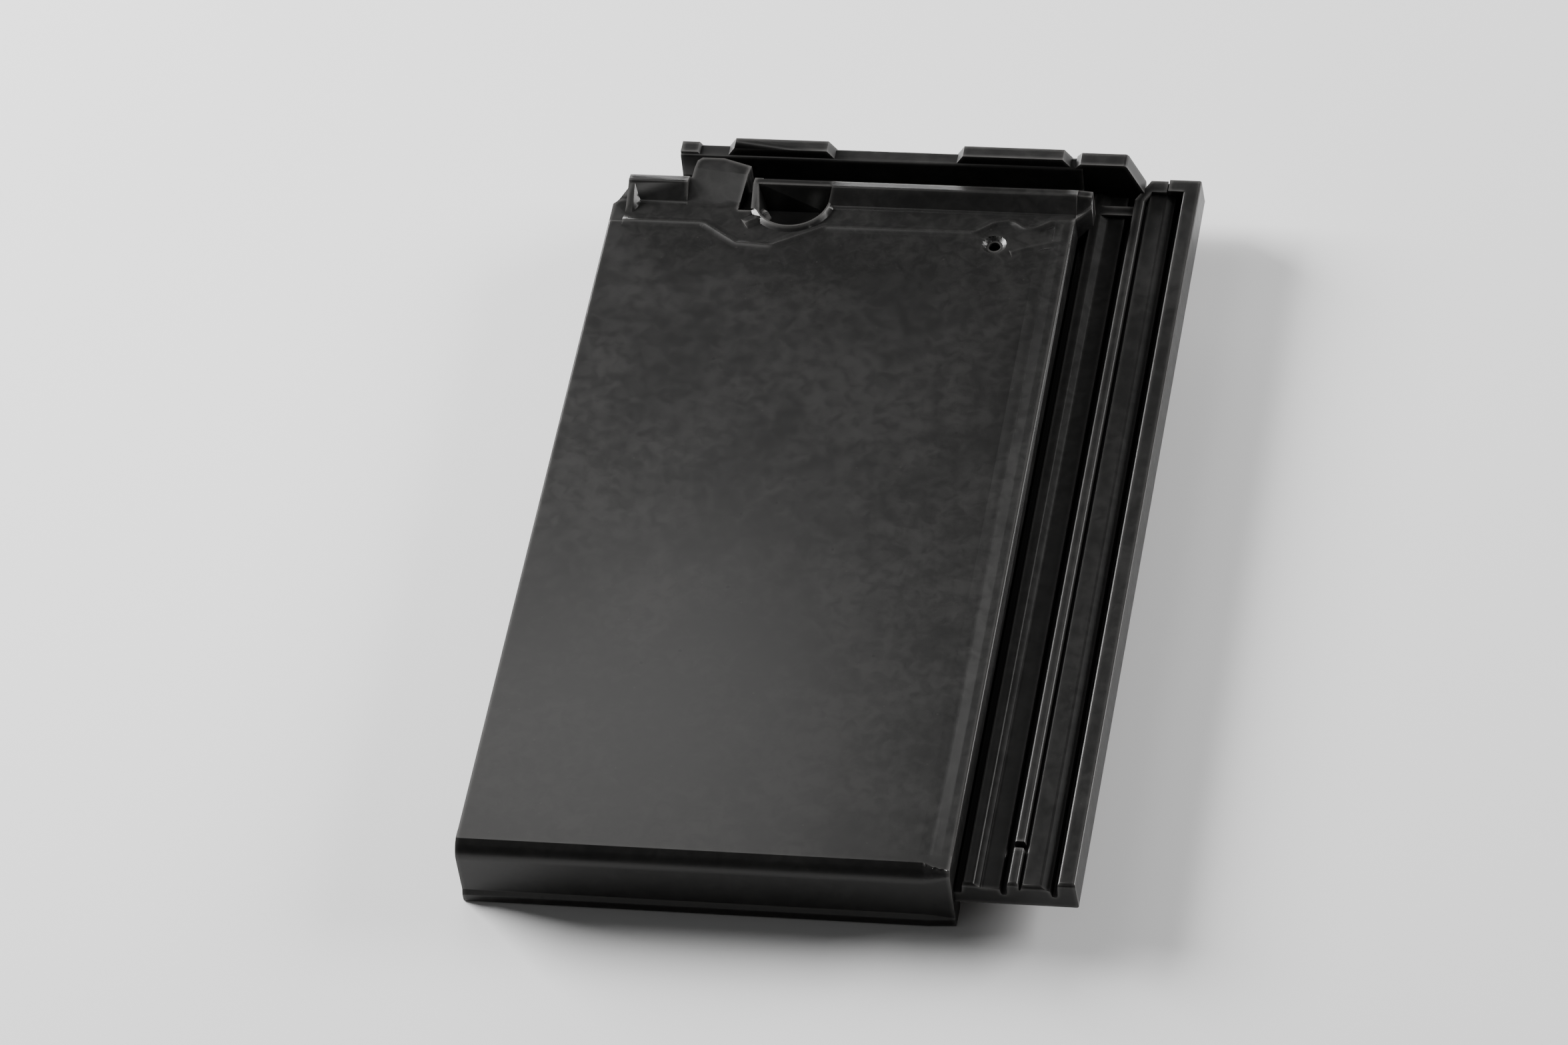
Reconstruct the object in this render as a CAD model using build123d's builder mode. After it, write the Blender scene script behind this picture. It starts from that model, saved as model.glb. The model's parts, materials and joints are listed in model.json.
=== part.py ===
from build123d import *
from math import atan2, degrees, radians, tan
import os

os.makedirs("parts", exist_ok=True)

# An interlocking flat clay roof tile, pressed and fired as one piece.
# It lies weather face up: X runs towards the side lock, Y runs up the slope
# towards the head, and Z = 0 is the level on which its nose and lugs stand.
# Places are measured from the tile's left edge and from the foot of its nose.

# Laying sizes
cover_width = 215.0
gauge = 330.0
joint_gap = 2.0
half_bond = cover_width / 2
pan_width = cover_width - joint_gap

# Pan
pan_top = 34.0
pan_thickness = 12.0
welt_height = 0.5
welt_width = 4.5
valley_depth = 0.2
valley_width = 10.0
web_run = 12.0
web_foot = 3.0
web_radius = 6.0
valley_radius = 12.0
welt_radius = 6.0
arris_radius = 1.0

# Nose
nose_radius = 8.0
nose_corner_radius = 3.5
nose_corner_length = 12.0
nose_thickness = 13.0
nose_lip = 1.2
nose_lip_height = 4.5
nose_inner_radius = 5.0
nose_foot_radius = 1.5
nose_lip_fade = 0.3
nose_lip_radius = 0.5
lapped_nose_thickness = 8.0
nose_top_run = 2.0
nose_seam_drop = 3.0

# Side lock: widths run outwards from the pan, drops are below the pan's top
lock_setback = 5.0
drain_width = 4.0
crest_width = 4.2
crest_fall_width = 4.0
channel_width = 7.6
water_groove_width = 3.5
small_rib_width = 4.2
split_groove_width = 1.8
wide_rib_width = 7.8
wide_fall_width = 4.2
outer_bar_width = 8.0
crest_drop = 10.5
channel_drop = 12.5
small_rib_drop = 9.0
outer_bar_drop = 8.0
groove_drop = 16.0
lock_bottom_drop = 22.0
rib_draft = 0.6
rib_radius = 1.0
lock_clearance = 1.2
cover_draft = 1.0
rib_notch_place = 27.0
rib_notch_width = 3.5
sill_width = 5.5
lock_closure = 7.0
closure_gap = 0.7
lock_end_radius = 2.0
rib_turn_run = 6.0
rib_turn_gap = 3.0

# Head: places up the slope from the nose, heights above the pan's top
bead_place = 373.8
bead_height = 1.2
bead_front_width = 2.6
bead_back_width = 4.4
hollow_depth = 0.8
crest_rise_start = 387.0
crest_front = 394.5
crest_thickness = 4.5
crest_height = 6.0
crest_top_fall = 1.0
cross_groove_width = 12.5
cross_groove_depth = 7.0
rear_rib_thickness = 8.5
rear_rib_height = 5.5
groove_batter = 1.5
head_radius = 1.4
crest_foot_radius = 3.0
rear_draft = 1.0
flare_start = 385.0
flare_end = 391.5
flare_width = 6.5
flare_fall = 0.6
side_crest_start = 380.0
side_crest_width = 6.0
side_crest_fall = 0.2
corner_cut = 27.5

# Rear rib: raised lengths over the lugs, and the stepped end over the lock
left_raised_start = 49.0
left_raised_end = 99.5
right_raised_start = pan_width - 58.5
right_raised_end = pan_width - 5.0
raised_height = 4.5
raised_slope_angle = 55.0
end_knob_width = 9.5
end_knob_height = 1.3
step_start = pan_width - 1.0
step_end = pan_width + 20.0
step_height = 2.4
rib_end_run = 7.0

# Lugs on the underside
lug_places = (74.0, pan_width - 31.0)
lug_width = 36.0
lug_root = 19.0
lug_inset = 1.0
lug_tip = 12.0
lug_radius = 2.5
seat_length = 16.0
seat_radius = 4.0

# Head block over the neighbour's lock, with the slit beside it
block_left = 34.0
block_right = 61.5
block_right_slant = 3.5
block_slant = 2.0
block_back_flat = 14.0
block_back_fall = 4.5
block_rim = 3.0
block_gap = 0.8
slit_width = 2.8
slit_front = 384.0
slit_depth = 5.0
bar_width = 3.9
bar_front_height = 0.5

# Round recess in front of the crest, with its rim
recess_centre = (82.6, 390.8)
recess_radius = 16.6
recess_depth = 8.0
recess_taper = 14.0
rim_width = 3.0
rim_height = 0.9
rim_taper = 50.0

# Bead's way across the head: round the recess from the left edge, and behind the nail hole
# from the pan's right edge
bead_bulge = ((44.0, 0.0), (61.0, -12.0), (77.0, -13.0), (100.0, 0.0))
bead_wave = ((-44.0, 0.0), (-36.0, 6.5), (-28.0, 8.2), (-22.0, 3.6), (-17.0, 4.0), (-10.0, 8.8))
bead_turn = 5.5
ridge_wave = ((-26.5, 362.5), (-17.0, 366.8), (-8.0, 369.5), (0.0, 369.5))
ridge_height = 0.6
foot_points = ((63.0, 374.5), (67.5, 377.6), (72.5, 382.0))
foot_height = 0.8
short_turn = 5.0

# Nail hole in its shallow dish
nail_place = (pan_width - 34.5, 367.5)
nail_radius = 2.75
dish_radius = 6.0
dish_depth = 1.5
dish_flare = 2.2
dish_taper = 50.0

# Foot rib on the underside, which drops into the cross groove of the course below
foot_clearance = 2.5
foot_floor_gap = 1.5

# How far solids run into each other, and cuts past the surface
overlap = 1.0
overcut = 1.0

# Derived places
pan_bottom = pan_top - pan_thickness
drain_end = pan_width + drain_width
crest_end = drain_end + crest_width
fall_end = crest_end + crest_fall_width
channel_end = fall_end + channel_width
small_start = channel_end + water_groove_width
small_end = small_start + small_rib_width
wide_start = small_end + split_groove_width
wide_end = wide_start + wide_rib_width
wide_fall_end = wide_end + wide_fall_width
outer_start = wide_fall_end + water_groove_width
closure_start = wide_end + closure_gap
overall_width = outer_start + outer_bar_width
crest_back = crest_front + crest_thickness
rear_rib_front = crest_back + cross_groove_width
overall_length = rear_rib_front + rear_rib_thickness
lock_bottom = pan_top - lock_bottom_drop
crest_level = pan_top + crest_height
hollow_level = pan_top - hollow_depth
groove_level = pan_top - cross_groove_depth
rear_rib_level = pan_top + rear_rib_height
lug_front = overall_length - lug_root - lug_inset
cover_end = overall_width - cover_width + lock_clearance + cover_draft
flare_right = pan_width + flare_width
flare_left = flare_right - cover_width + joint_gap
head_start = crest_rise_start - head_radius
crest_back_level = crest_level - crest_top_fall
nose_top_end = nose_lip + nose_radius + nose_top_run
valley_middle = pan_width - welt_width - valley_width / 2
drain_floor = pan_top - groove_drop
slit_right = block_right + slit_width
recess_wall = slit_right + bar_width
recess_floor_draft = recess_depth * tan(radians(recess_taper))
recess_back_draft = (recess_depth + crest_height) * tan(radians(recess_taper))
rib_turn_start = rear_rib_front - rib_turn_gap
block_back = rear_rib_front - block_gap
block_rim_taper = degrees(atan2(block_rim, crest_top_fall))
raised_spans = ((left_raised_start, left_raised_end), (right_raised_start, right_raised_end))
ridge_points = [(pan_width + x, y) for x, y in ridge_wave]

left = -overall_width / 2
front = -overall_length / 2


def across(y):
    """Plane across the tile at y from the nose: local x from the left edge, local y up."""
    return Plane(origin=(left, front + y, 0), x_dir=(1, 0, 0), z_dir=(0, -1, 0))


def along(x):
    """Plane along the tile at x from the left edge: local x from the nose, local y up."""
    return Plane(origin=(left + x, front, 0), x_dir=(0, 1, 0), z_dir=(1, 0, 0))


def level(z):
    """Level plane at height z: local x from the left edge, local y from the nose."""
    return Plane(origin=(left, front, z))


def rounded_face(corners):
    """Closed face through corners given as (x, y, radius of its rounding)."""
    with BuildSketch() as outline:
        with BuildLine():
            FilletPolyline(
                *[(x, y) for x, y, _ in corners],
                radius=[radius for _, _, radius in corners],
                close=True,
            )
        make_face()
    return outline.sketch


def lock_top(front_end):
    """Top of the side lock from the drain to the outer bar, without its small rib at the rear."""
    r = rib_radius
    small_rib = [
        (small_start - rib_draft, pan_top - groove_drop, r),
        (small_start, pan_top - small_rib_drop, r),
        (small_end, pan_top - small_rib_drop, r),
        (small_end + rib_draft, pan_top - channel_drop, 0),
        (wide_start - rib_draft, pan_top - channel_drop, 0),
    ]
    no_rib = [(wide_start - 2 * rib_draft, pan_top - groove_drop, r)]
    return (
        [
            (drain_end - rib_draft, pan_top - groove_drop, r),
            (drain_end, pan_top - crest_drop, r),
            (crest_end, pan_top - crest_drop, 3 * r),
            (fall_end, pan_top - channel_drop, 3 * r),
            (channel_end, pan_top - channel_drop, r / 2),
            (channel_end + rib_draft, pan_top - groove_drop, r),
        ]
        + (small_rib if front_end else no_rib)
        + [
            (wide_start, pan_top - crest_drop, r),
            (wide_end, pan_top - crest_drop, 3 * r),
            (wide_fall_end, pan_top - channel_drop, r / 2),
            (wide_fall_end + rib_draft, pan_top - groove_drop, r),
            (outer_start - rib_draft, pan_top - groove_drop, r),
            (outer_start, pan_top - outer_bar_drop, r),
            (overall_width - rib_draft, pan_top - outer_bar_drop, r),
            (overall_width, lock_bottom, r),
        ]
    )


def cover_place(x):
    """Place under the left edge where the neighbouring tile's lock has its place x."""
    return x - cover_width


def cover_level(drop):
    """Height that clears a neighbouring lock's part lying that far below the pan's top."""
    return pan_top - drop + lock_clearance


def nose_outline(radius, lip):
    """Section through the nose: foot lip, front face, rounding into the pan and the skirt."""
    return rounded_face(
        [
            (nose_thickness + web_run, pan_top - nose_seam_drop, 0),
            (nose_top_end, pan_top - nose_seam_drop, 0),
            (nose_top_end, pan_top, 0),
            (nose_lip, pan_top, radius),
            (nose_lip, nose_lip_height + 2 * lip, nose_lip_radius),
            (nose_lip - lip, nose_lip_height, arris_radius),
            (nose_lip - lip, 0, arris_radius),
            (nose_thickness, 0, nose_foot_radius),
            (nose_thickness, pan_bottom, nose_inner_radius),
            (nose_thickness + web_run, pan_bottom, 0),
        ]
    )


def recess_face(radius, wall, back):
    """Round outline of the recess, straight along its left wall and along its back."""
    x, y = recess_centre
    wall_foot = y - (radius**2 - (x - wall) ** 2) ** 0.5
    with BuildSketch() as outline:
        with BuildLine():
            edge = Polyline((x + radius, y), (x + radius, back), (wall, back), (wall, wall_foot))
            ThreePointArc(edge @ 1, (x, y - radius), edge @ 0)
        make_face()
    return outline.sketch


def block_face():
    """Outline of the head block."""
    with BuildSketch() as outline:
        with BuildLine():
            Polyline(
                (block_left, head_start),
                (block_left, crest_front),
                (block_left + block_slant, block_back - block_slant),
                (block_left + 2 * block_slant, block_back),
                (block_left + block_back_flat, block_back),
                (block_right, block_back - block_back_fall),
                (block_right - block_right_slant, head_start),
                close=True,
            )
        make_face()
    return outline.sketch


def ramp_face(ramp_end):
    """Wedge above the head block's ramp, which rises to the crest's level at ramp_end."""
    with BuildSketch() as wedge:
        with BuildLine():
            Polyline(
                (head_start, hollow_level),
                (ramp_end, crest_level),
                (ramp_end, crest_level + 2 * overcut),
                (head_start, crest_level + 2 * overcut),
                close=True,
            )
        make_face()
    return wedge.sketch


def bead_way():
    """Points of the bead's crown from the left edge to the drain."""
    wave = tuple((pan_width + x, rise) for x, rise in bead_wave + ((0.0, bead_wave[-1][1]),))
    return [(x, bead_place + rise) for x, rise in ((flare_left, 0.0),) + bead_bulge + wave]


with BuildPart() as tile:
    # Pan plate and side lock in one section, with the drain between them
    with BuildSketch(across(head_start)):
        add(
            rounded_face(
                [
                    (0, pan_bottom, 0),
                    (0, pan_top, arris_radius),
                    (pan_width - valley_width - welt_width, pan_top, valley_radius),
                    (valley_middle, pan_top - valley_depth, valley_radius),
                    (pan_width - welt_width, pan_top + welt_height, welt_radius),
                    (pan_width, pan_top + welt_height, arris_radius),
                    (pan_width, pan_top - groove_drop, rib_radius),
                ]
                + lock_top(True)
                + [
                    (pan_width - web_foot, lock_bottom, web_radius),
                    (pan_width - web_run, pan_bottom, web_radius),
                ]
            )
        )
    extrude(amount=head_start - nose_top_end)

    # Side lock alone: beside the nose, on past the head, and its rear end without the small rib
    for section_back, section_front, has_rib in (
        (nose_top_end, lock_setback, True),
        (rib_turn_start, head_start, True),
        (overall_length, rib_turn_start, False),
    ):
        with BuildSketch(across(section_back)):
            add(
                rounded_face(
                    [(pan_width, lock_bottom, 0), (pan_width, pan_top - groove_drop, 0)]
                    + lock_top(has_rib)
                )
            )
        extrude(amount=section_back - section_front)

    # Small rib's end, which turns outwards and joins the wide rib
    with BuildSketch(level(lock_bottom)):
        with BuildLine():
            Polyline(
                (small_start, rib_turn_start - rib_radius),
                (small_start + rib_turn_run, overall_length),
                (wide_end, overall_length),
                (wide_end, overall_length - lock_closure),
                (wide_start + rib_radius, overall_length - lock_closure),
                (small_end, rib_turn_start - rib_radius),
                close=True,
            )
        make_face()
    extrude(amount=lock_bottom_drop - small_rib_drop)

    # Rear closure of the outer water groove
    closure_middle = (closure_start + outer_start + overlap) / 2
    with BuildSketch(level(lock_bottom)):
        with Locations((closure_middle, overall_length - lock_closure / 2)):
            Rectangle(outer_start + overlap - closure_start, lock_closure)
    extrude(amount=lock_bottom_drop - outer_bar_drop)

    # Nose: one section along the front, rounded tighter and without its lip towards the lock
    with BuildSketch(along(0)):
        add(nose_outline(nose_radius, nose_lip))
    extrude(amount=pan_width - nose_corner_length)
    with BuildSketch(along(pan_width - nose_corner_length)):
        add(nose_outline(nose_radius, nose_lip))
    with BuildSketch(along(pan_width)):
        add(nose_outline(nose_corner_radius, nose_lip * nose_lip_fade))
    loft()

    # Head under the crest, the cross groove and the rear rib, with the batten seat below
    with BuildSketch(along(0)):
        add(
            rounded_face(
                [
                    (lug_front - seat_length - web_run, pan_bottom, 0),
                    (head_start, pan_bottom, 0),
                    (head_start, hollow_level, 0),
                    (crest_rise_start, hollow_level, crest_foot_radius),
                    (crest_front, crest_level, head_radius),
                    (crest_back, crest_back_level, head_radius),
                    (crest_back + groove_batter, groove_level, head_radius),
                    (rear_rib_front - groove_batter, groove_level, head_radius),
                    (rear_rib_front, rear_rib_level, head_radius),
                    (overall_length - rear_draft, rear_rib_level, head_radius),
                    (overall_length, lock_bottom, arris_radius),
                    (lug_front - seat_length, lock_bottom, seat_radius),
                ]
            )
        )
    extrude(amount=pan_width)

    # Crest's right end, which flares out over the drain
    with BuildSketch(along(pan_width)):
        with BuildLine():
            Polyline(
                (flare_start, drain_floor),
                (flare_start, pan_top),
                (crest_rise_start + overlap, pan_top),
                (crest_front, crest_level - flare_fall),
                (crest_back, crest_back_level - flare_fall),
                (crest_back, drain_floor),
                close=True,
            )
        make_face()
    with BuildSketch(along(flare_right)):
        with BuildLine():
            Polyline(
                (flare_end, drain_floor),
                (flare_end, pan_top + flare_fall),
                (flare_end + overlap, pan_top + 2 * flare_fall),
                (crest_front, crest_level - 2 * flare_fall),
                (crest_back, crest_back_level - 2 * flare_fall),
                (crest_back, drain_floor),
                close=True,
            )
        make_face()
    loft(ruled=True)

    # Sill behind the crest that closes the lock's first strip
    with BuildSketch(level(lock_bottom)):
        with Locations(((pan_width + small_start) / 2, crest_back + sill_width / 2)):
            Rectangle(small_start - pan_width, sill_width)
    extrude(amount=lock_bottom_drop - crest_drop)

    # Rear rib's stepped end over the lock
    with BuildSketch(across(overall_length - rear_draft / 2)):
        add(
            rounded_face(
                [
                    (step_start - step_height, lock_bottom, 0),
                    (step_start - step_height, rear_rib_level, 0),
                    (step_start, rear_rib_level + step_height, arris_radius),
                    (step_end, rear_rib_level + step_height, 2 * arris_radius),
                    (step_end + rib_end_run, pan_top - small_rib_drop, arris_radius),
                    (step_end + rib_end_run, lock_bottom, 0),
                ]
            )
        )
    extrude(amount=rear_rib_thickness - rear_draft)

    # Raised lengths of the rear rib
    for span_start, span_end in raised_spans:
        with BuildSketch(across(overall_length - rear_draft)):
            with Locations(
                ((span_start + span_end) / 2, rear_rib_level + (raised_height - overlap) / 2)
            ):
                Trapezoid(span_end - span_start, raised_height + overlap, raised_slope_angle)
        extrude(amount=rear_rib_thickness - 2 * rear_draft)

    # Low knob on the rear rib's left end
    with BuildSketch(across(overall_length - rear_draft)):
        with Locations((corner_cut, rear_rib_level + (end_knob_height - overlap) / 2)):
            Trapezoid(2 * end_knob_width, end_knob_height + overlap, raised_slope_angle)
    extrude(amount=rear_rib_thickness - 2 * rear_draft)

    # Head block that bridges the cross groove over the neighbour's lock end
    with BuildSketch(level(lock_bottom)):
        add(block_face())
    extrude(amount=crest_back_level - lock_bottom)
    with BuildSketch(level(crest_back_level)):
        add(block_face())
    extrude(amount=crest_top_fall, taper=block_rim_taper)
    with BuildSketch(along(block_left)):
        add(ramp_face(block_back - block_rim))
    with BuildSketch(along(block_right)):
        add(ramp_face(block_back - block_back_fall - block_rim))
    loft(ruled=True, mode=Mode.SUBTRACT)

    # Hollow between the bead and the crest
    with BuildSketch(level(hollow_level)):
        with BuildLine():
            FilletPolyline(
                (-overcut, bead_place),
                *bead_way()[1:],
                (pan_width, head_start),
                (-overcut, head_start),
                radius=[0] + [bead_turn] * (len(bead_way()) - 2) + [0, 0, 0],
                close=True,
            )
        make_face()
    extrude(amount=hollow_depth + overcut, mode=Mode.SUBTRACT)

    # Side crest, which runs down from the crest's left end to the bead
    with BuildSketch(across(side_crest_start)):
        with BuildLine():
            Polyline(
                (flare_left, hollow_level - overlap),
                (flare_left, hollow_level),
                (flare_left + side_crest_width / 2, hollow_level),
                (flare_left + side_crest_width, hollow_level - overlap),
                close=True,
            )
        make_face()
    with BuildSketch(across(crest_front + overlap)):
        with BuildLine():
            Polyline(
                (flare_left, hollow_level - overlap),
                (flare_left, crest_level - side_crest_fall),
                (flare_left + side_crest_width / 2, crest_level - side_crest_fall),
                (flare_left + 1.5 * side_crest_width, hollow_level - overlap),
                close=True,
            )
        make_face()
    loft(ruled=True)

    # Bar between the slit and the recess, which runs down from the crest
    with BuildSketch(along(slit_right)):
        with BuildLine():
            Polyline(
                (slit_front, hollow_level - overlap),
                (slit_front, pan_top + bar_front_height),
                (crest_front, crest_level),
                (crest_back, crest_back_level),
                (crest_back, hollow_level - overlap),
                close=True,
            )
        make_face()
    extrude(amount=bar_width)

    # Round recess with its rim
    with BuildSketch(level(hollow_level)):
        add(recess_face(recess_radius + rim_width, slit_right, crest_front + overlap))
    extrude(amount=hollow_depth + rim_height, taper=rim_taper)
    with BuildSketch(level(pan_top - recess_depth)):
        add(
            recess_face(
                recess_radius - recess_floor_draft,
                recess_wall + recess_floor_draft,
                crest_front - recess_back_draft,
            )
        )
    extrude(amount=recess_depth + crest_height, taper=-recess_taper, mode=Mode.SUBTRACT)

    # Slit between the head block and the bar
    with BuildSketch(level(pan_top - slit_depth)):
        with BuildLine():
            Polyline(
                (block_right - block_right_slant, slit_front),
                (block_right, block_back - block_back_fall),
                (slit_right, block_back - block_back_fall),
                (slit_right, slit_front),
                close=True,
            )
        make_face()
    extrude(amount=crest_height + slit_depth + overcut, mode=Mode.SUBTRACT)

    # Left end of the head, cut back along the neighbouring tile's flared crest
    with BuildSketch(level(-overcut)):
        with BuildLine():
            Polyline(
                (-overcut, flare_start - overcut),
                (0, flare_start),
                (flare_left, flare_end),
                (flare_left, crest_back + groove_batter / 2),
                (block_left, crest_back + groove_batter / 2),
                (block_left + block_slant, rear_rib_front - joint_gap),
                (corner_cut, rear_rib_front - joint_gap),
                (corner_cut, overall_length + overcut),
                (-overcut, overall_length + overcut),
                close=True,
            )
        make_face()
    extrude(amount=crest_level + raised_height + overcut, mode=Mode.SUBTRACT)

    # Bead along the head, the short ridge beside the nail hole and the foot of the recess's rim
    for points, turn, height, front_level in (
        (bead_way(), bead_turn, bead_height, hollow_depth),
        (ridge_points, short_turn, ridge_height, hollow_depth),
        (foot_points, short_turn, foot_height, 0),
    ):
        with BuildLine(level(hollow_level)) as way:
            FilletPolyline(*points, radius=turn)
        with BuildSketch(Plane(origin=way.line @ 0, x_dir=(0, 1, 0), z_dir=way.line % 0)):
            add(
                rounded_face(
                    [
                        (-bead_front_width, -overlap, 0),
                        (-bead_front_width, front_level, 0),
                        (0, hollow_depth + height, arris_radius),
                        (bead_back_width, 0, 0),
                        (bead_back_width, -overlap, 0),
                    ]
                )
            )
        sweep(path=way.line)

    # Nail hole in its shallow dish
    with BuildSketch(level(pan_top - dish_depth)):
        with Locations(nail_place):
            Circle(dish_radius - dish_flare)
    extrude(amount=dish_depth + overcut, taper=-dish_taper, mode=Mode.SUBTRACT)
    with BuildSketch(level(pan_bottom - overcut)):
        with Locations(nail_place):
            Circle(nail_radius)
    extrude(amount=pan_thickness + overcut, mode=Mode.SUBTRACT)

    # Lugs under the raised lengths, upright where they bear on the batten
    for centre in lug_places:
        with BuildSketch(along(centre - lug_width / 2)):
            add(
                rounded_face(
                    [
                        (lug_front, lock_bottom, 0),
                        (lug_front, 0, lug_radius),
                        (lug_front + lug_tip, 0, lug_radius),
                        (lug_front + lug_root, lock_bottom, 0),
                    ]
                )
            )
        extrude(amount=lug_width)

    # Hollow under the left edge, which covers the neighbouring tile's lock
    with BuildSketch(across(overall_length + overcut)):
        with BuildLine():
            Polyline(
                (-overcut, -overcut),
                (-overcut, cover_level(crest_drop)),
                (cover_place(fall_end), cover_level(crest_drop)),
                (cover_place(fall_end) + rib_draft, cover_level(channel_drop)),
                (cover_place(channel_end) - rib_draft, cover_level(channel_drop)),
                (cover_place(small_start) - lock_clearance, cover_level(small_rib_drop)),
                (cover_place(small_end) + lock_clearance, cover_level(small_rib_drop)),
                (cover_place(wide_start), cover_level(crest_drop)),
                (cover_place(wide_end) + rib_draft, cover_level(crest_drop)),
                (cover_place(wide_fall_end), cover_level(channel_drop)),
                (cover_place(outer_start) - lock_clearance - rib_draft, cover_level(channel_drop)),
                (cover_place(outer_start) - lock_clearance, cover_level(outer_bar_drop)),
                (cover_end, cover_level(outer_bar_drop)),
                (cover_end + cover_draft, -overcut),
                close=True,
            )
        make_face()
    extrude(amount=overall_length + overcut - lapped_nose_thickness, mode=Mode.SUBTRACT)

    # Room in that hollow for the neighbouring lock's rear closure
    closure_room = lock_closure + lock_clearance
    with BuildSketch(level(-overcut)):
        with Locations(
            (
                (cover_place(closure_start) - lock_clearance + cover_end) / 2,
                overall_length + overcut - (closure_room + overcut) / 2,
            )
        ):
            Rectangle(
                cover_end - cover_place(closure_start) + lock_clearance, closure_room + overcut
            )
    extrude(amount=cover_level(outer_bar_drop) + overcut, mode=Mode.SUBTRACT)

    # Rounded front ends of the lock's ribs
    for rib_start, rib_end, drop in (
        (drain_end, channel_end, crest_drop),
        (small_start - rib_draft, small_end + rib_draft, small_rib_drop),
        (small_end + rib_draft, wide_fall_end, crest_drop),
        (outer_start - rib_draft, overall_width + overcut, outer_bar_drop),
    ):
        with BuildSketch(along(rib_start)):
            with BuildLine():
                rim = Polyline(
                    (lock_setback + lock_end_radius, pan_top - drop),
                    (lock_setback + lock_end_radius, pan_top - drop + overcut),
                    (lock_setback - overcut, pan_top - drop + overcut),
                    (lock_setback - overcut, pan_top - drop - lock_end_radius),
                    (lock_setback, pan_top - drop - lock_end_radius),
                )
                RadiusArc(rim @ 1, rim @ 0, lock_end_radius)
            make_face()
        extrude(amount=rib_end - rib_start, mode=Mode.SUBTRACT)

    # Small notch across the lock's small rib, near the nose
    with BuildSketch(level(pan_top - channel_drop)):
        with Locations(((small_start + small_end) / 2, rib_notch_place)):
            Rectangle(small_rib_width + 2 * rib_draft, rib_notch_width)
    extrude(amount=channel_drop, mode=Mode.SUBTRACT)

    # Foot rib that hangs into the cross groove of the course below, open for its head block
    foot_front = crest_back - gauge + foot_clearance
    foot_back = rear_rib_front - gauge - foot_clearance
    block_gap_start = block_left + half_bond - foot_clearance
    block_gap_end = block_right + half_bond + foot_clearance
    foot_spans = ((cover_end, block_gap_start), (block_gap_end, pan_width - web_run))
    for span_start, span_end in foot_spans:
        with BuildSketch(level(foot_floor_gap)):
            with Locations(((span_start + span_end) / 2, (foot_front + foot_back) / 2)):
                Rectangle(span_end - span_start, foot_back - foot_front)
        extrude(amount=pan_bottom - foot_floor_gap + overlap)

tile.part.label = "roof_tile"
export_step(tile.part, "parts/roof_tile.step")
print("overall", tile.part.bounding_box().size, "volume", tile.part.volume)
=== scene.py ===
"""Dresses one interlocking flat clay roof tile and sets it on a pale studio floor.

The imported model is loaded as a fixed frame. The tile's own mesh is copied, its loose
triangles are joined and its arrises are rounded, and it gets a semi-matt black engobe
finish over fired clay. All lengths are in metres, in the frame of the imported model:
X runs towards the side lock, Y up the slope towards the head, Z up.
"""

import json
import logging
import math
from dataclasses import dataclass, field
from enum import Enum

import bmesh
import bpy
from mathutils import Matrix, Quaternion, Vector

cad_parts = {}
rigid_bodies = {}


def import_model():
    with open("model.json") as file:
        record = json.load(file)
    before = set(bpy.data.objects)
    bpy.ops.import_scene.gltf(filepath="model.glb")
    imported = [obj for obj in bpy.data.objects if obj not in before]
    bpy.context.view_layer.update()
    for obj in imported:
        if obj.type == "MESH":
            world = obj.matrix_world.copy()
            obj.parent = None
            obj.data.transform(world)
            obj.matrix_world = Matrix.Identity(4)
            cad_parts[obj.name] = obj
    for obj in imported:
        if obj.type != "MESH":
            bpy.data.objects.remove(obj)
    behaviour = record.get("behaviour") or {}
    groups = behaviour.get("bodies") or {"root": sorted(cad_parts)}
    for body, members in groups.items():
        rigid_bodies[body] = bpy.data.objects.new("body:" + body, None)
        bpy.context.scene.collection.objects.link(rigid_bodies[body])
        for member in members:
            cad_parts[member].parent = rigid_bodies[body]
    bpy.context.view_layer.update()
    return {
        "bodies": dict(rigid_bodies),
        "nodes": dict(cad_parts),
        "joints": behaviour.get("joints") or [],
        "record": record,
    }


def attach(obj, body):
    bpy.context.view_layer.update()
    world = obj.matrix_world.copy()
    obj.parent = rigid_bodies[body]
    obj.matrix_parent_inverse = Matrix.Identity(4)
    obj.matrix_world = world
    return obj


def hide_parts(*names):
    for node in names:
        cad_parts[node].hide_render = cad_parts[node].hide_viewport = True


LOG = logging.getLogger("roof_tile")

PHOTO_WIDTH = 2352
SENSOR_WIDTH = 36.0

Colour = tuple[float, float, float, float]
Point = tuple[float, float, float]
Span = tuple[float, float]
Socket = bpy.types.NodeSocket

NONE_TO_ALL: Span = (0.0, 1.0)


class Pattern(Enum):
    """Node groups that the finish's layers share, by the name of their effect."""

    CLOUDS = "clouds"
    SPECKS = "specks"
    GRAIN = "grain"


def grey(value: float, warmth: float = 0.0) -> Colour:
    """Return a near-neutral linear colour, redder for a positive warmth."""
    return (value * (1.0 + warmth), value, value * (1.0 - warmth), 1.0)


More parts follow.
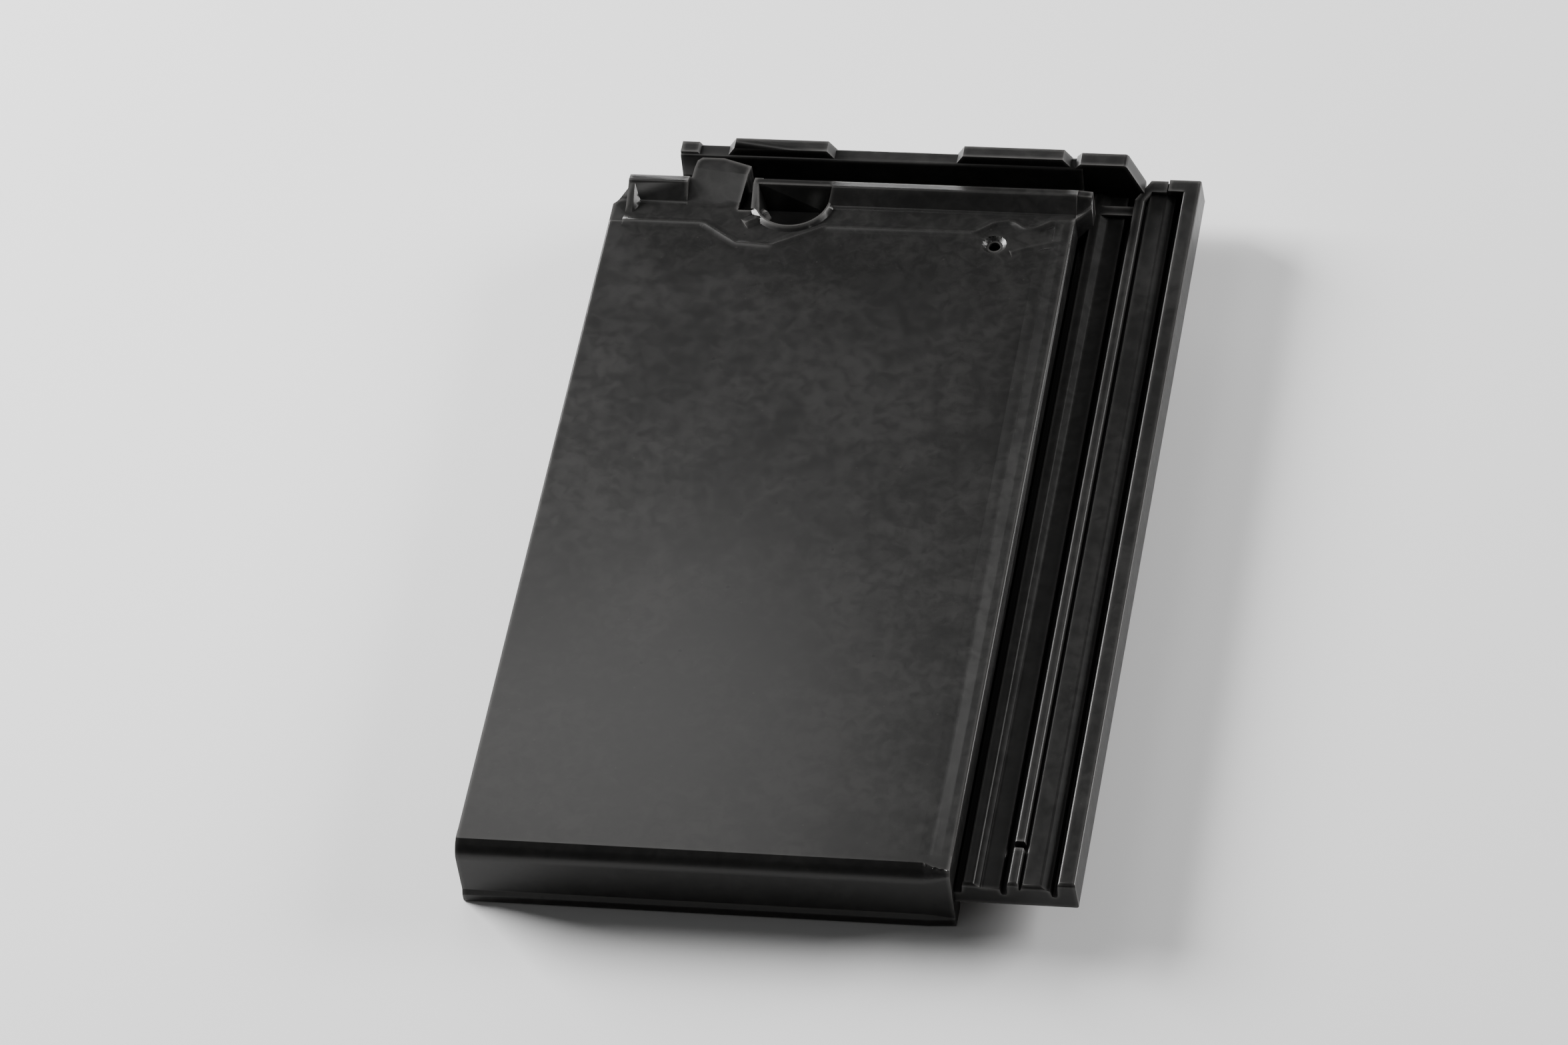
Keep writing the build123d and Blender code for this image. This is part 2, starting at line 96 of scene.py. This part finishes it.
class NodeSheet:
    """Adds and links nodes in one node tree."""

    COLUMN_STEP = 180.0
    ROW_STEP = -40.0
    ROWS = 7

    # The Mix node repeats its socket names for each type, so they go by number.
    MIX_FACTOR = 0
    MIX_NUMBERS = (2, 3)
    MIX_NUMBER_OUT = 0
    MIX_COLOURS = (6, 7)
    MIX_COLOUR_OUT = 2

    def __init__(self, tree: bpy.types.NodeTree) -> None:
        """Start with an empty tree.

        Args:
            tree: The tree that gets the nodes.
        """
        self.tree = tree
        self.tree.nodes.clear()
        self.column = 0

    def add(self, kind: str, **values: object) -> bpy.types.Node:
        """Add a node and set its properties and input values.

        Args:
            kind: The node's type name.
            values: Properties of the node, or input sockets as in_NAME with
                underscores for blanks.

        Returns:
            The new node.
        """
        node = self.tree.nodes.new(kind)
        self.column += 1
        row = self.column % self.ROWS
        node.location = (self.COLUMN_STEP * self.column, self.ROW_STEP * row)
        for name, value in values.items():
            if name.startswith("in_"):
                socket = name.removeprefix("in_").replace("_", " ")
                node.inputs[socket].default_value = value
            else:
                setattr(node, name, value)
        return node

    def link(self, source: Socket, target: Socket) -> None:
        """Link an output socket to an input socket."""
        self.tree.links.new(source, target)

    def ramp(self, source: Socket, span: Span, result: Span = NONE_TO_ALL) -> Socket:
        """Map one range of a value smoothly to another.

        Args:
            source: The value's socket.
            span: Start and end of the range that is read.
            result: Values at its start and end.

        Returns:
            The mapped value's socket.
        """
        node = self.add("ShaderNodeMapRange", interpolation_type="SMOOTHSTEP")
        names = ("From Min", "From Max", "To Min", "To Max")
        for name, value in zip(names, span + result):
            node.inputs[name].default_value = value
        self.link(source, node.inputs["Value"])
        return node.outputs["Result"]

    def mix(self, factor: Socket, first: Socket | Colour, second: Socket | Colour) -> Socket:
        """Mix two colours, each a socket or a plain colour.

        Args:
            factor: Share of the second colour.
            first: Colour at factor 0.
            second: Colour at factor 1.

        Returns:
            The mixed colour's socket.
        """
        node = self.add("ShaderNodeMix", data_type="RGBA")
        self.link(factor, node.inputs[self.MIX_FACTOR])
        for value, index in zip((first, second), self.MIX_COLOURS):
            if isinstance(value, tuple):
                node.inputs[index].default_value = value
            else:
                self.link(value, node.inputs[index])
        return node.outputs[self.MIX_COLOUR_OUT]

    def blend(self, factor: Socket, first: Socket, second: Socket) -> Socket:
        """Blend two values.

        Args:
            factor: Share of the second value.
            first: Value at factor 0.
            second: Value at factor 1.

        Returns:
            The blended value's socket.
        """
        node = self.add("ShaderNodeMix", data_type="FLOAT")
        self.link(factor, node.inputs[self.MIX_FACTOR])
        for value, index in zip((first, second), self.MIX_NUMBERS):
            self.link(value, node.inputs[index])
        return node.outputs[self.MIX_NUMBER_OUT]

    def math(
        self, operation: str, first: Socket, second: Socket | float, clamp: bool = False
    ) -> Socket:
        """Combine two values.

        Args:
            operation: Name of the operation.
            first: The first value's socket.
            second: The second value, a socket or a number.
            clamp: Whether the result is held between 0 and 1.

        Returns:
            The result's socket.
        """
        node = self.add("ShaderNodeMath", operation=operation, use_clamp=clamp)
        self.link(first, node.inputs[0])
        if isinstance(second, float):
            node.inputs[1].default_value = second
        else:
            self.link(second, node.inputs[1])
        return node.outputs[0]


@dataclass(frozen=True)
class Layer:
    """One use of a shared pattern, with the values of the group's inputs."""

    pattern: Pattern
    values: tuple[tuple[str, float], ...]


class PatternBook:
    """Builds each shared pattern once, as a node group."""

    CLOUD_ROUGHNESS = 0.58
    CLOUD_DISTORTION = 0.6
    CLOUD_MIDDLE = 0.5
    FINE_DETAIL = 3.0
    FINE_ROUGHNESS = 0.6
    COARSE_DETAIL = 2.0
    COARSE_ROUGHNESS = 0.5
    COARSE_SCALE = 0.14

    def __init__(self) -> None:
        """Start with no group built."""
        self.groups: dict[Pattern, bpy.types.NodeTree] = {}

    def place(self, sheet: NodeSheet, layer: Layer, vector: Socket) -> Socket:
        """Place a layer's pattern in a material.

        Args:
            sheet: The material's nodes.
            layer: The pattern and its values.
            vector: The coordinates it follows.

        Returns:
            The pattern's value, from 0 to 1.
        """
        node = sheet.add("ShaderNodeGroup", node_tree=self._group(layer.pattern))
        sheet.link(vector, node.inputs["Vector"])
        for name, value in layer.values:
            node.inputs[name].default_value = value
        return node.outputs["Value"]

    def _group(self, pattern: Pattern) -> bpy.types.NodeTree:
        """Return a pattern's group, built at its first use.

        Args:
            pattern: The pattern.

        Returns:
            The group.
        """
        if pattern not in self.groups:
            build = {
                Pattern.CLOUDS: self._clouds,
                Pattern.SPECKS: self._specks,
                Pattern.GRAIN: self._grain,
            }[pattern]
            self.groups[pattern] = build(pattern.value)
        return self.groups[pattern]

    @staticmethod
    def _start(name: str, numbers: tuple[str, ...]) -> tuple[NodeSheet, bpy.types.Node]:
        """Start a group with a vector input, number inputs and one value output.

        Args:
            name: Name of the group.
            numbers: Names of the number inputs.

        Returns:
            The group's nodes and its input node.
        """
        tree = bpy.data.node_groups.new(name, "ShaderNodeTree")
        sheet = NodeSheet(tree)
        tree.interface.new_socket("Vector", in_out="INPUT", socket_type="NodeSocketVector")
        for number in numbers:
            tree.interface.new_socket(number, in_out="INPUT", socket_type="NodeSocketFloat")
        tree.interface.new_socket("Value", in_out="OUTPUT", socket_type="NodeSocketFloat")
        return sheet, sheet.add("NodeGroupInput")

    @staticmethod
    def _end(sheet: NodeSheet, value: Socket) -> bpy.types.NodeTree:
        """Link the group's output and return its tree."""
        sheet.link(value, sheet.add("NodeGroupOutput").inputs["Value"])
        return sheet.tree

    def _clouds(self, name: str) -> bpy.types.NodeTree:
        """Build soft clouds: a distorted noise, stretched about its middle value.

        Args:
            name: Name of the group.

        Returns:
            The group.
        """
        sheet, start = self._start(name, ("Scale", "Detail", "Contrast"))
        noise = sheet.add(
            "ShaderNodeTexNoise",
            in_Roughness=self.CLOUD_ROUGHNESS,
            in_Distortion=self.CLOUD_DISTORTION,
        )
        for socket in ("Vector", "Scale", "Detail"):
            sheet.link(start.outputs[socket], noise.inputs[socket])
        centred = sheet.math("SUBTRACT", noise.outputs["Fac"], self.CLOUD_MIDDLE)
        stretched = sheet.math("MULTIPLY", centred, start.outputs["Contrast"])
        return self._end(sheet, sheet.math("ADD", stretched, self.CLOUD_MIDDLE, clamp=True))

    def _specks(self, name: str) -> bpy.types.NodeTree:
        """Build scattered round specks, each near the middle of its own cell.

        Args:
            name: Name of the group.

        Returns:
            The group.
        """
        sheet, start = self._start(name, ("Scale", "Size", "Share"))
        cells = sheet.add("ShaderNodeTexVoronoi", feature="F1")
        for socket in ("Vector", "Scale"):
            sheet.link(start.outputs[socket], cells.inputs[socket])
        near = sheet.math("LESS_THAN", cells.outputs["Distance"], start.outputs["Size"])
        tint = sheet.add("ShaderNodeSeparateColor")
        sheet.link(cells.outputs["Color"], tint.inputs["Color"])
        chosen = sheet.math("LESS_THAN", tint.outputs["Red"], start.outputs["Share"])
        return self._end(sheet, sheet.math("MULTIPLY", near, chosen))

    def _grain(self, name: str) -> bpy.types.NodeTree:
        """Build the fine grain of pressed clay under a thin coat.

        Args:
            name: Name of the group.

        Returns:
            The group.
        """
        sheet, start = self._start(name, ("Scale", "Coarse"))
        fine = sheet.add(
            "ShaderNodeTexNoise", in_Detail=self.FINE_DETAIL, in_Roughness=self.FINE_ROUGHNESS
        )
        for socket in ("Vector", "Scale"):
            sheet.link(start.outputs[socket], fine.inputs[socket])
        coarse = sheet.add(
            "ShaderNodeTexNoise",
            in_Detail=self.COARSE_DETAIL,
            in_Roughness=self.COARSE_ROUGHNESS,
        )
        sheet.link(start.outputs["Vector"], coarse.inputs["Vector"])
        coarse_scale = sheet.math("MULTIPLY", start.outputs["Scale"], self.COARSE_SCALE)
        sheet.link(coarse_scale, coarse.inputs["Scale"])
        grain = sheet.blend(start.outputs["Coarse"], fine.outputs["Fac"], coarse.outputs["Fac"])
        return self._end(sheet, grain)


@dataclass(frozen=True)
class Engobe:
    """Semi-matt black engobe on fired clay.

    The coat is faintly mottled with a few specks. A painted highlight lightens it on
    outward arrises, and the clay shows through it on the underside.
    """

    dark: Colour = grey(0.0060, 0.02)
    light: Colour = grey(0.0115, 0.03)
    speck: Colour = grey(0.002)
    dust: Colour = grey(0.022, 0.05)
    # Painted highlight: the lighter colour laid on outward arrises.
    arris_highlight: Colour = grey(0.075, 0.03)
    clay: Colour = (0.060, 0.033, 0.024, 1.0)

    cloud_layer: Layer = Layer(
        Pattern.CLOUDS, (("Scale", 22.0), ("Detail", 5.0), ("Contrast", 1.6))
    )
    mottle_layer: Layer = Layer(
        Pattern.CLOUDS, (("Scale", 170.0), ("Detail", 4.0), ("Contrast", 1.8))
    )
    dust_layer: Layer = Layer(Pattern.SPECKS, (("Scale", 210.0), ("Size", 0.10), ("Share", 0.10)))
    speck_layer: Layer = Layer(Pattern.SPECKS, (("Scale", 70.0), ("Size", 0.055), ("Share", 0.22)))
    wave_layer: Layer = Layer(
        Pattern.CLOUDS, (("Scale", 18.0), ("Detail", 1.0), ("Contrast", 1.0))
    )
    grain_layer: Layer = Layer(Pattern.GRAIN, (("Scale", 950.0), ("Coarse", 0.45)))

    # Which part of a pattern's range makes the coat go from dark to light.
    light_span: Span = (0.05, 0.55)
    dust_cover: float = 0.5
    speck_cover: float = 0.8

    # How far into the clay an arris is felt, how open its surroundings are where the
    # painted highlight starts and where it is strongest, and how much of it is laid on.
    arris_reach: float = 0.0022
    arris_samples: int = 6
    arris_highlight_span: Span = (0.95, 0.50)
    arris_highlight_cover: Span = (0.0, 0.8)

    # Upward share of a face's normal where it starts and ends to count as underside.
    under_span: Span = (-0.35, -0.75)
    clay_span: Span = (0.25, 0.75)
    clay_cover: Span = (0.25, 0.75)

    shine_span: Span = (0.15, 0.85)
    roughness: Span = (0.328, 0.362)
    mottle_span: Span = (0.2, 0.8)
    mottle_roughness: Span = (0.0, 0.04)
    underside_roughness: float = 0.16
    specular: float = 0.35
    specular_tint: Colour = (1.0, 0.99, 0.975, 1.0)
    wave_height: float = 0.00018
    grain_height: float = 0.00003

    def material(self, name: str, book: PatternBook) -> bpy.types.Material:
        """Build the finish as a material.

        Args:
            name: Name of the material.
            book: The shared patterns.

        Returns:
            The material.
        """
        made = bpy.data.materials.new(name)
        made.use_nodes = True
        sheet = NodeSheet(made.node_tree)
        place = sheet.add("ShaderNodeTexCoord").outputs["Object"]
        clouds = book.place(sheet, self.cloud_layer, place)
        mottle = book.place(sheet, self.mottle_layer, place)

        coat = self._coat(sheet, book, place, sheet.math("MULTIPLY", clouds, mottle))
        under = self._underside(sheet)
        bare = sheet.math("MULTIPLY", under, sheet.ramp(mottle, self.clay_span, self.clay_cover))
        colour = sheet.mix(bare, coat, self.clay)

        shine = sheet.ramp(clouds, self.shine_span, self.roughness)
        fine = sheet.ramp(mottle, self.mottle_span, self.mottle_roughness)
        even = sheet.math("ADD", shine, fine)
        rough = sheet.math("ADD", even, sheet.math("MULTIPLY", under, self.underside_roughness))

        shader = sheet.add("ShaderNodeBsdfPrincipled")
        shader.inputs["Specular IOR Level"].default_value = self.specular
        shader.inputs["Specular Tint"].default_value = self.specular_tint
        sheet.link(colour, shader.inputs["Base Color"])
        sheet.link(rough, shader.inputs["Roughness"])
        sheet.link(self._relief(sheet, book, place), shader.inputs["Normal"])
        sheet.link(shader.outputs[0], sheet.add("ShaderNodeOutputMaterial").inputs["Surface"])
        return made

    def _coat(
        self, sheet: NodeSheet, book: PatternBook, place: Socket, mottling: Socket
    ) -> Socket:
        """Build the coat's colour, with its mottling, dust, specks and a painted highlight on the
        arrises.

        Args:
            sheet: The material's nodes.
            book: The shared patterns.
            place: The coordinates to follow.
            mottling: Value that takes the coat from dark to light.

        Returns:
            The colour's socket.
        """
        colour = sheet.mix(sheet.ramp(mottling, self.light_span), self.dark, self.light)
        dust = book.place(sheet, self.dust_layer, place)
        colour = sheet.mix(sheet.math("MULTIPLY", dust, self.dust_cover), colour, self.dust)
        specks = book.place(sheet, self.speck_layer, place)
        colour = sheet.mix(sheet.math("MULTIPLY", specks, self.speck_cover), colour, self.speck)
        # Painted highlight: the coat is lightened on outward arrises.
        return sheet.mix(self._arris_highlight_mask(sheet), colour, self.arris_highlight)

    def _arris_highlight_mask(self, sheet: NodeSheet) -> Socket:
        """Build the painted highlight's mask, which rises on outward arrises.

        Args:
            sheet: The material's nodes.

        Returns:
            The mask's socket.
        """
        depth = sheet.add(
            "ShaderNodeAmbientOcclusion",
            samples=self.arris_samples,
            inside=True,
            only_local=True,
            in_Distance=self.arris_reach,
        )
        return sheet.ramp(depth.outputs["AO"], self.arris_highlight_span, self.arris_highlight_cover)

    def _underside(self, sheet: NodeSheet) -> Socket:
        """Build a mask that is 1 on faces which look down.

        Args:
            sheet: The material's nodes.

        Returns:
            The mask's socket.
        """
        split = sheet.add("ShaderNodeSeparateXYZ")
        sheet.link(sheet.add("ShaderNodeNewGeometry").outputs["True Normal"], split.inputs[0])
        return sheet.ramp(split.outputs["Z"], self.under_span)

    def _relief(self, sheet: NodeSheet, book: PatternBook, place: Socket) -> Socket:
        """Build the surface's slow waviness and its fine grain.

        Args:
            sheet: The material's nodes.
            book: The shared patterns.
            place: The coordinates to follow.

        Returns:
            The normal's socket.
        """
        wave = book.place(sheet, self.wave_layer, place)
        slow = sheet.add("ShaderNodeBump", in_Strength=1.0, in_Distance=self.wave_height)
        sheet.link(wave, slow.inputs["Height"])
        grain = book.place(sheet, self.grain_layer, place)
        fine = sheet.add("ShaderNodeBump", in_Strength=1.0, in_Distance=self.grain_height)
        sheet.link(grain, fine.inputs["Height"])
        sheet.link(slow.outputs["Normal"], fine.inputs["Normal"])
        return fine.outputs["Normal"]


@dataclass(frozen=True)
class PlainMatt:
    """One plain matt colour, for the studio floor."""

    colour: Colour = grey(0.85)
    roughness: float = 0.9

    def material(self, name: str) -> bpy.types.Material:
        """Build the finish as a material.

        Args:
            name: Name of the material.

        Returns:
            The material.
        """
        made = bpy.data.materials.new(name)
        made.use_nodes = True
        shader = made.node_tree.nodes["Principled BSDF"]
        shader.inputs["Base Color"].default_value = self.colour
        shader.inputs["Roughness"].default_value = self.roughness
        return made


@dataclass
class RoofTile:
    """The pressed clay tile, with its arrises rounded and its finish."""

    node: str = "roof_tile"
    merge_distance: float = 0.00002
    flat_angle: float = math.radians(0.6)
    crease_angle: float = math.radians(32.0)

    # The pan's face, and the low welt and shallow valley along its right edge.
    pan_level: float = 0.034
    upward_share: float = 0.5
    welt_relief: float = 0.0006
    nose_seam: float = -0.1985
    welt_fade: float = 0.045
    welt_left: float = 0.35

    arris_radius: float = 0.0009
    arris_segments: int = 3
    finish: Engobe = field(default_factory=Engobe)

    def build(self, frame: dict, book: PatternBook) -> bpy.types.Object:
        """Build the tile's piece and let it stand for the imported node.

        Args:
            frame: The loaded frame.
            book: The shared patterns.

        Returns:
            The piece.
        """
        piece = self._joined_copy(frame["nodes"][self.node])
        self._round_arrises(piece)
        piece.data.materials.clear()
        piece.data.materials.append(self.finish.material("black_engobe", book))
        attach(piece, "root")
        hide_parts(self.node)
        return piece

    def _joined_copy(self, source: bpy.types.Object) -> bpy.types.Object:
        """Copy the node's mesh, join its loose triangles and melt its flat faces.

        Args:
            source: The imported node's object.

        Returns:
            A new object at the origin.
        """
        mesh = bpy.data.meshes.new("tile_body")
        work = bmesh.new()
        work.from_mesh(source.data)
        bmesh.ops.remove_doubles(work, verts=work.verts, dist=self.merge_distance)
        bmesh.ops.dissolve_limit(
            work, angle_limit=self.flat_angle, verts=work.verts, edges=work.edges
        )
        self._fade_welt(work)
        for face in work.faces:
            face.smooth = True
        work.to_mesh(mesh)
        work.free()
        piece = bpy.data.objects.new("tile_body", mesh)
        bpy.context.collection.objects.link(piece)
        return piece

    def _fade_welt(self, work: bmesh.types.BMesh) -> None:
        """Let the valley and the welt on the pan's right edge run out level at the nose.

        The pan is cut across where the fade starts. There the relief keeps a part of
        its height, and at the nose it is gone.

        Args:
            work: The tile's joined mesh.
        """
        fade_start = self.nose_seam + self.welt_fade
        top = [
            face
            for face in work.faces
            if face.normal.z > self.upward_share
            and max(vert.co.z for vert in face.verts) > self.pan_level
        ]
        edges = {edge for face in top for edge in face.edges}
        verts = {vert for edge in edges for vert in edge.verts}
        bmesh.ops.bisect_plane(
            work,
            geom=[*top, *edges, *verts],
            plane_co=(0.0, fade_start, 0.0),
            plane_no=(0.0, 1.0, 0.0),
        )
        for vert in work.verts:
            relief = vert.co.z - self.pan_level
            if abs(relief) > self.welt_relief or vert.co.y > fade_start + self.merge_distance:
                continue
            at_nose = vert.co.y < fade_start - self.merge_distance
            vert.co.z = self.pan_level + (0.0 if at_nose else self.welt_left * relief)

    def _round_arrises(self, piece: bpy.types.Object) -> None:
        """Round the sharp edges a little, as pressed clay has them.

        Args:
            piece: The tile's piece.
        """
        piece.data.set_sharp_from_angle(angle=self.crease_angle)
        rounding = piece.modifiers.new("arris", "BEVEL")
        rounding.limit_method = "ANGLE"
        rounding.angle_limit = self.crease_angle
        rounding.width = self.arris_radius
        rounding.segments = self.arris_segments
        rounding.use_clamp_overlap = True
        rounding.harden_normals = True
        shading = piece.modifiers.new("even_shading", "WEIGHTED_NORMAL")
        shading.keep_sharp = True


@dataclass(frozen=True)
class SoftLamp:
    """A soft lamp with a flat face that looks at the tile, itself out of sight."""

    name: str
    place: Point
    width: float
    height: float
    power: float
    target: Point = (0.0, 0.0, 0.03)

    def build(self) -> None:
        """Hang the lamp and turn it to its target."""
        light = bpy.data.lights.new(self.name, "AREA")
        light.shape = "RECTANGLE"
        light.size = self.width
        light.size_y = self.height
        light.energy = self.power
        lamp = bpy.data.objects.new(self.name, light)
        lamp.location = self.place
        aim = Vector(self.target) - Vector(self.place)
        lamp.rotation_euler = aim.to_track_quat("-Z", "Y").to_euler()
        lamp.visible_camera = False
        bpy.context.collection.objects.link(lamp)


@dataclass
class Studio:
    """Pale floor, soft lamps and the camera at the photograph's angle."""

    floor_side: float = 12.0
    sky: float = 0.1
    eye: Point = (0.6425, -2.2718, 2.5531)
    target: Point = (-0.0257, -0.0031, 0.02)
    roll: float = math.radians(-9.56)
    focal_pixels: float = 11850.0
    near_clip: float = 0.05

    # The small lamp makes the sheen in the front of the pan. The others stand low and
    # behind, so faces that lean to the front stay dark, and the last draws thin lines
    # along the head.
    lamps: tuple[SoftLamp, ...] = (
        SoftLamp(
            name="sheen_lamp",
            place=(-0.185, 0.125, 0.375),
            width=0.25,
            height=0.18,
            power=0.47,
            target=(-0.08, -0.17, 0.03),
        ),
        SoftLamp("left_lamp", (-2.4, 1.0, 1.05), width=1.6, height=0.9, power=280.0),
        SoftLamp("right_lamp", (2.4, 1.0, 1.05), width=1.6, height=0.9, power=105.0),
        SoftLamp("rim_lamp", (-0.7, 1.75, 0.15), width=1.5, height=0.24, power=36.0),
    )

    def build(self) -> None:
        """Build the floor, the light and the camera."""
        self._floor()
        self._sky()
        for lamp in self.lamps:
            lamp.build()
        self._camera()

    def _floor(self) -> None:
        """Lay a large plain floor just under the tile."""
        mesh = bpy.data.meshes.new("floor")
        work = bmesh.new()
        bmesh.ops.create_grid(work, x_segments=1, y_segments=1, size=self.floor_side / 2)
        work.to_mesh(mesh)
        work.free()
        floor = bpy.data.objects.new("floor", mesh)
        mesh.materials.append(PlainMatt().material("studio_floor"))
        bpy.context.collection.objects.link(floor)

    def _sky(self) -> None:
        """Give the room an even soft light."""
        world = bpy.data.worlds.new("room")
        world.use_nodes = True
        backdrop = world.node_tree.nodes["Background"]
        backdrop.inputs["Color"].default_value = grey(1.0)
        backdrop.inputs["Strength"].default_value = self.sky
        bpy.context.scene.world = world

    def _camera(self) -> None:
        """Set the camera where the photograph was taken from, with a longer lens."""
        lens = bpy.data.cameras.new("camera")
        lens.sensor_width = SENSOR_WIDTH
        lens.lens = self.focal_pixels / PHOTO_WIDTH * SENSOR_WIDTH
        lens.clip_start = self.near_clip
        camera = bpy.data.objects.new("camera", lens)
        aim = (Vector(self.target) - Vector(self.eye)).to_track_quat("-Z", "Y")
        turn = Quaternion((0.0, 0.0, 1.0), self.roll)
        camera.matrix_world = Matrix.Translation(self.eye) @ (aim @ turn).to_matrix().to_4x4()
        bpy.context.collection.objects.link(camera)
        bpy.context.scene.camera = camera


def main() -> None:
    """Build the pieces in order and report each one."""
    logging.basicConfig(level=logging.INFO, format="%(name)s: %(message)s")
    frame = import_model()
    book = PatternBook()
    Studio().build()
    LOG.info("studio set")
    piece = RoofTile().build(frame, book)
    LOG.info("%s: %d faces before its rounding", piece.name, len(piece.data.polygons))


if __name__ == "__main__":
    main()
